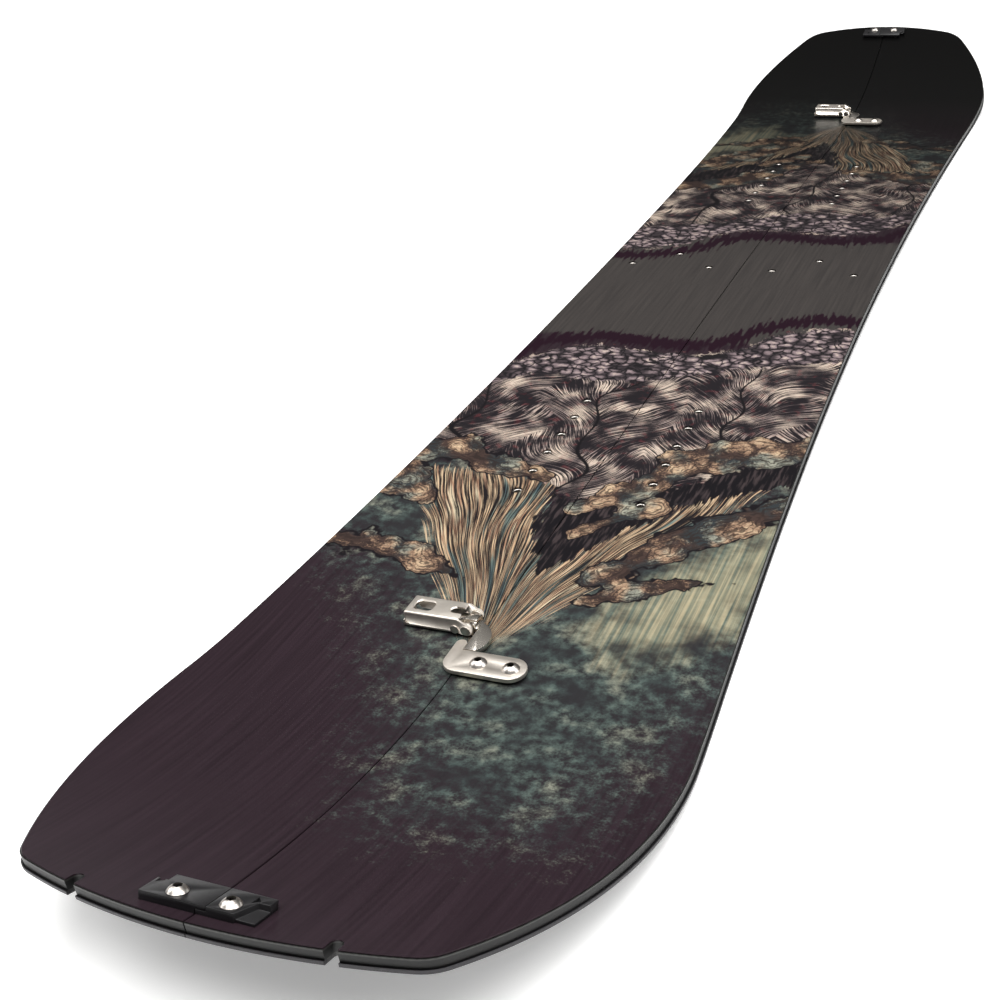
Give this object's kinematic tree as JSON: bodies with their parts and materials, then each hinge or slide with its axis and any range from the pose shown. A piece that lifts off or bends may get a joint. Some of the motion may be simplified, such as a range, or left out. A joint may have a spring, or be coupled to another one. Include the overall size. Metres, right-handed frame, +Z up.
{
  "type": "splitboard",
  "caption": "Snowboard sawn lengthwise into two laminated halves, held shut by lever clips with pulling hooks and by overlapping tip connectors.",
  "frame": {"origin": "on the seam between the halves, at mid-length, at the level of the two lines on which the base rests", "axes": "+Y from tail to nose, +X to the right half, +Z up from the base through the topsheet"},
  "size_m": [0.284, 1.526, 0.0668],
  "materials": {
    "topsheet": "gloss printed plastic sheet",
    "laminate": "resin and glass cloth",
    "core": "laminated wood",
    "base": "sintered polyethylene, ground",
    "edge": "ground steel",
    "sidewall": "machined ABS",
    "insert": "stainless steel",
    "nylon": "moulded nylon",
    "clip_plate": "brushed stainless steel",
    "hook": "polished stainless steel",
    "screw": "stainless steel",
    "connector": "glass-filled nylon, semi-gloss"
  },
  "bodies": {
    "left_half": {"left_topsheet": "topsheet", "left_upper_laminate": "laminate", "left_core": "core", "left_lower_laminate": "laminate", "left_base": "base", "left_outer_edge": "edge", "left_tail_edge": "edge", "left_inner_edge": "edge", "left_outer_sidewall": "sidewall", "left_inner_sidewall": "sidewall", "left_tail_spacer": "sidewall", "left_nose_spacer": "sidewall", "left_inserts": "insert", "tail_clip_pad": "nylon", "tail_clip_base": "clip_plate", "tail_clip_base_screws": "screw", "tail_lever_axle": "screw", "nose_clip_pad": "nylon", "nose_clip_base": "clip_plate", "nose_clip_base_screws": "screw", "nose_lever_axle": "screw", "tail_connector_left": "connector", "nose_connector_left": "connector", "tail_screw_left": "screw", "nose_screw_left": "screw"},
    "right_half": {"right_topsheet": "topsheet", "right_upper_laminate": "laminate", "right_core": "core", "right_lower_laminate": "laminate", "right_base": "base", "right_outer_edge": "edge", "right_tail_edge": "edge", "right_inner_edge": "edge", "right_outer_sidewall": "sidewall", "right_inner_sidewall": "sidewall", "right_tail_spacer": "sidewall", "right_nose_spacer": "sidewall", "right_inserts": "insert", "tail_catch_spacer": "nylon", "tail_catch_plate": "clip_plate", "tail_catch_screws": "screw", "nose_catch_spacer": "nylon", "nose_catch_plate": "clip_plate", "nose_catch_screws": "screw", "tail_connector_right": "connector", "nose_connector_right": "connector", "tail_screw_right": "screw", "nose_screw_right": "screw"},
    "tail_lever": {"tail_lever": "clip_plate", "tail_hook_pin": "screw"},
    "tail_hook": {"tail_hook": "hook"},
    "nose_lever": {"nose_lever": "clip_plate", "nose_hook_pin": "screw"},
    "nose_hook": {"nose_hook": "hook"}
  },
  "joints": [
    {"name": "right_half_slide", "type": "slide", "parent": "left_half", "child": "right_half", "axis": [0, -1, 0], "range_m": [0, 0.016]},
    {"name": "tail_lever_hinge", "type": "hinge", "parent": "left_half", "child": "tail_lever", "pos_m": [-0.0061, -0.50874, 0.01219], "axis": [0, 1, -0.0028], "range_deg": [0, 90]},
    {"name": "tail_hook_hinge", "type": "hinge", "parent": "tail_lever", "child": "tail_hook", "pos_m": [-0.0125, -0.50874, 0.01219], "axis": [0, 1, -0.0028], "range_deg": [-90, 0]},
    {"name": "nose_lever_hinge", "type": "hinge", "parent": "left_half", "child": "nose_lever", "pos_m": [-0.0061, 0.54112, 0.01325], "axis": [0, 0.9996, 0.0279], "range_deg": [0, 90]},
    {"name": "nose_hook_hinge", "type": "hinge", "parent": "nose_lever", "child": "nose_hook", "pos_m": [-0.0125, 0.54112, 0.01325], "axis": [0, 0.9996, 0.0279], "range_deg": [-90, 0]}
  ],
  "couplings": [
    {"joint": "tail_hook_hinge", "follows": "tail_lever_hinge", "ratio": -1},
    {"joint": "nose_hook_hinge", "follows": "nose_lever_hinge", "ratio": -1}
  ]
}
